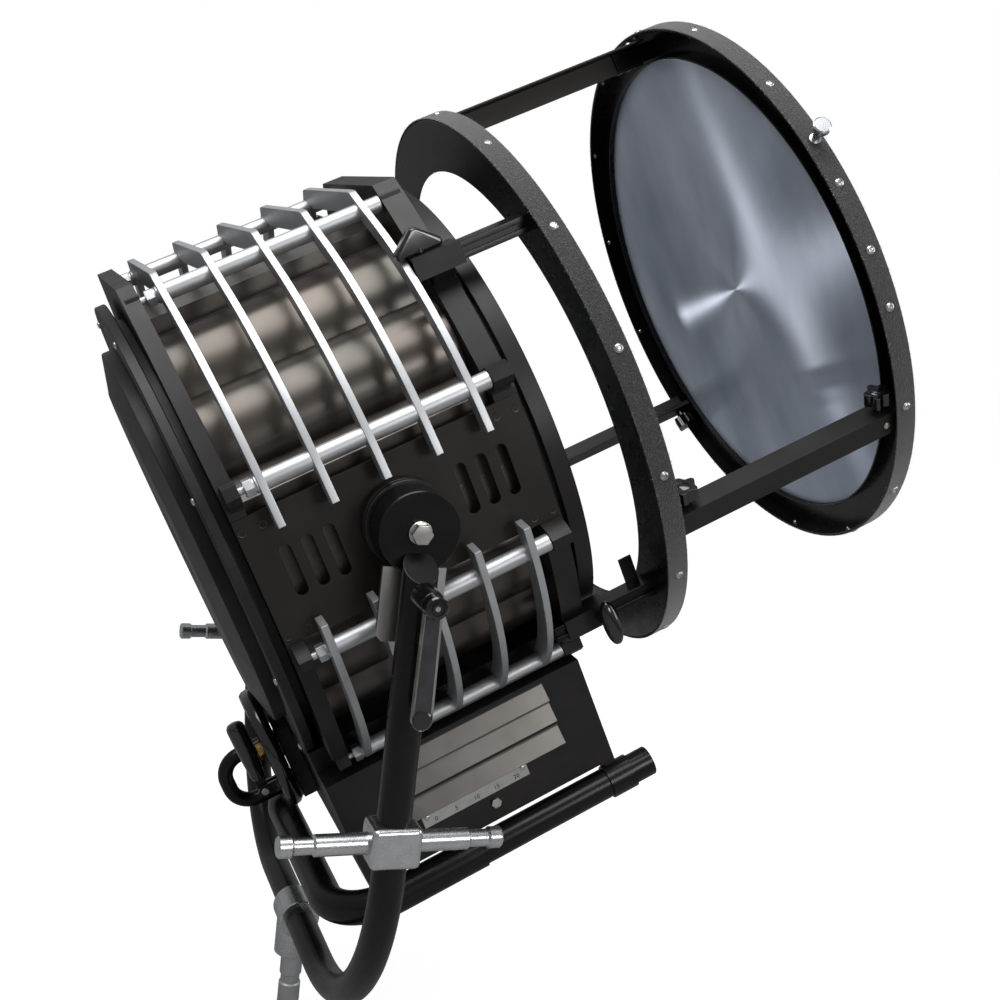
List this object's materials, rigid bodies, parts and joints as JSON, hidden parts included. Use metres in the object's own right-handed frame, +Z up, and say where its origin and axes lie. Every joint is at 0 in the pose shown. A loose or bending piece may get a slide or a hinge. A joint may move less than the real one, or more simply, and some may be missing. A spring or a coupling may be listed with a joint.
{
  "type": "hmi light",
  "caption": "Large HMI lamp head in a tilting tubular yoke with a stand spigot, cooling guard, skid base and a wide Fresnel lens adapter on its front.",
  "frame": {"origin": "centre of the bottom face of the stand spigot", "axes": "+Z up along the spigot, +X towards the front the light shines to, +Y across the yoke, away from the clamp lever's side"},
  "size_m": [0.9635, 0.7952, 1.2783],
  "materials": {
    "satin_black_enamel": "black stoved enamel on tube and rolled rings, satin",
    "fine_black_powder_coat": "fine-texture black powder coat on cast aluminium",
    "warm_black_anodised_sheet": "warm black anodised aluminium sheet, satin",
    "dark_grey_side_plate": "dark grey-brown anodised plate, satin",
    "satin_aluminium": "satin anodised aluminium",
    "bright_zinc": "bright zinc-plated steel",
    "glossy_black_plastic": "glossy black moulded plastic",
    "lens_glass": "clear heat-resistant glass, polished",
    "polished_reflector": "polished aluminium mirror",
    "quartz_lamp": "clear quartz bulb on a ceramic base",
    "grey_cast_bearing": "grey-black cast aluminium"
  },
  "bodies": {
    "yoke": {"yoke_tube": "satin_black_enamel", "stand_spigot": "satin_aluminium", "near_side_pin": "bright_zinc", "far_side_pin": "bright_zinc", "near_pivot_bolt": "bright_zinc", "far_pivot_bolt": "bright_zinc", "brake_plate": "bright_zinc"},
    "lever": {"clamp_lever": "glossy_black_plastic"},
    "head": {"rear_frame": "fine_black_powder_coat", "front_frame": "fine_black_powder_coat", "near_side_plate": "dark_grey_side_plate", "far_side_plate": "dark_grey_side_plate", "near_brake_disc": "fine_black_powder_coat", "far_brake_disc": "fine_black_powder_coat", "upper_rib_1": "satin_aluminium", "upper_rib_2": "satin_aluminium", "upper_rib_3": "satin_aluminium", "upper_rib_4": "satin_aluminium", "upper_rib_5": "satin_aluminium", "near_top_rod": "satin_aluminium", "near_upper_rod": "satin_aluminium", "far_top_rod": "satin_aluminium", "far_upper_rod": "satin_aluminium", "near_lower_guard": "satin_aluminium", "far_lower_guard": "satin_aluminium", "upper_housing": "warm_black_anodised_sheet", "lower_housing": "warm_black_anodised_sheet", "rear_ring": "fine_black_powder_coat", "rear_cover": "fine_black_powder_coat", "flange_ring": "fine_black_powder_coat", "front_lens": "lens_glass", "base_box": "fine_black_powder_coat", "skid_tube": "satin_black_enamel", "rear_handle": "satin_black_enamel", "focus_gearbox": "grey_cast_bearing", "carriage_track": "satin_aluminium", "ignitor": "grey_cast_bearing"},
    "wheel": {"hand_wheel": "glossy_black_plastic", "focus_shaft": "bright_zinc"},
    "grip": {"crank_grip": "glossy_black_plastic"},
    "carriage": {"lamp_carriage": "grey_cast_bearing", "lamp": "quartz_lamp", "reflector": "polished_reflector"},
    "adapter": {"middle_ring": "satin_black_enamel", "lens_ring": "satin_black_enamel", "fresnel_lens": "lens_glass", "near_rail": "fine_black_powder_coat", "top_rail": "fine_black_powder_coat", "far_rail": "fine_black_powder_coat"},
    "near_rear_star": {"near_rear_star_knob": "glossy_black_plastic"},
    "near_front_star": {"near_front_star_knob": "glossy_black_plastic"},
    "top_rear_star": {"top_rear_star_knob": "glossy_black_plastic"},
    "top_front_star": {"top_front_star_knob": "glossy_black_plastic"},
    "far_rear_star": {"far_rear_star_knob": "glossy_black_plastic"},
    "far_front_star": {"far_front_star_knob": "glossy_black_plastic"},
    "thumb": {"thumb_bolt": "bright_zinc"},
    "near_top_t": {"near_top_knob": "glossy_black_plastic"},
    "far_top_t": {"far_top_knob": "glossy_black_plastic"},
    "near_low_t": {"near_low_knob": "glossy_black_plastic"},
    "far_low_t": {"far_low_knob": "glossy_black_plastic"}
  },
  "joints": [
    {"name": "head_tilt", "type": "hinge", "parent": "yoke", "child": "head", "pos_m": [0, 0, 0.711], "axis": [0, -1, 0], "range_deg": [-72.7, 47.3]},
    {"name": "clamp_lever_turn", "type": "hinge", "parent": "yoke", "child": "lever", "pos_m": [0, -0.3733, 0.656], "axis": [0, -1, 0], "range_deg": [-60, 120]},
    {"name": "lamp_focus", "type": "slide", "parent": "head", "child": "carriage", "axis": [0.8854, 0, 0.4648], "range_m": [-0.02, 0.09]},
    {"name": "focus_wheel_turn", "type": "hinge", "parent": "head", "child": "wheel", "pos_m": [-0.04383, 0.03, 0.34272], "axis": [0.8854, 0, 0.4648], "range_deg": [-360, 1620]},
    {"name": "crank_grip_fold", "type": "hinge", "parent": "wheel", "child": "grip", "pos_m": [-0.04815, 0.03, 0.28511], "axis": [0, -1, 0], "range_deg": [0, 90]},
    {"name": "adapter_slide", "type": "slide", "parent": "head", "child": "adapter", "axis": [0.8854, 0, 0.4648], "range_m": [0, 0.035]},
    {"name": "near_top_knob_turn", "type": "hinge", "parent": "head", "child": "near_top_t", "pos_m": [0.00758, -0.2201, 0.97622], "axis": [-0.4648, 0, 0.8854], "range_deg": [0, 90]},
    {"name": "far_top_knob_turn", "type": "hinge", "parent": "head", "child": "far_top_t", "pos_m": [0.00758, 0.2201, 0.97622], "axis": [0.4648, 0, -0.8854], "range_deg": [0, 90]},
    {"name": "near_low_knob_turn", "type": "hinge", "parent": "head", "child": "near_low_t", "pos_m": [0.25844, -0.237, 0.59844], "axis": [0, -1, 0], "range_deg": [-180, 180]},
    {"name": "far_low_knob_turn", "type": "hinge", "parent": "head", "child": "far_low_t", "pos_m": [0.25844, 0.237, 0.59844], "axis": [0, 1, 0], "range_deg": [-180, 180]},
    {"name": "near_rear_star_turn", "type": "hinge", "parent": "adapter", "child": "near_rear_star", "pos_m": [0.31045, -0.30164, 0.74355], "axis": [-0.4368, -0.342, 0.832], "continuous": true},
    {"name": "near_front_star_turn", "type": "hinge", "parent": "adapter", "child": "near_front_star", "pos_m": [0.53445, -0.30164, 0.86116], "axis": [-0.4368, -0.342, 0.832], "continuous": true},
    {"name": "top_rear_star_turn", "type": "hinge", "parent": "adapter", "child": "top_rear_star", "pos_m": [0.11247, 0.05574, 1.12065], "axis": [0.0807, 0.9848, -0.1537], "continuous": true},
    {"name": "top_front_star_turn", "type": "hinge", "parent": "adapter", "child": "top_front_star", "pos_m": [0.33647, 0.05574, 1.23826], "axis": [0.0807, 0.9848, -0.1537], "continuous": true},
    {"name": "far_rear_star_turn", "type": "hinge", "parent": "adapter", "child": "far_rear_star", "pos_m": [0.35533, 0.2459, 0.65807], "axis": [0.3561, -0.6428, -0.6783], "continuous": true},
    {"name": "far_front_star_turn", "type": "hinge", "parent": "adapter", "child": "far_front_star", "pos_m": [0.57933, 0.2459, 0.77568], "axis": [0.3561, -0.6428, -0.6783], "continuous": true},
    {"name": "thumb_bolt_turn", "type": "hinge", "parent": "adapter", "child": "thumb", "pos_m": [0.411, -0.2835, 1.1404], "axis": [-0.2633, -0.8241, 0.5015], "continuous": true}
  ],
  "couplings": [
    {"joint": "lamp_focus", "follows": "focus_wheel_turn", "m_per_rad": 0.0031831}
  ]
}
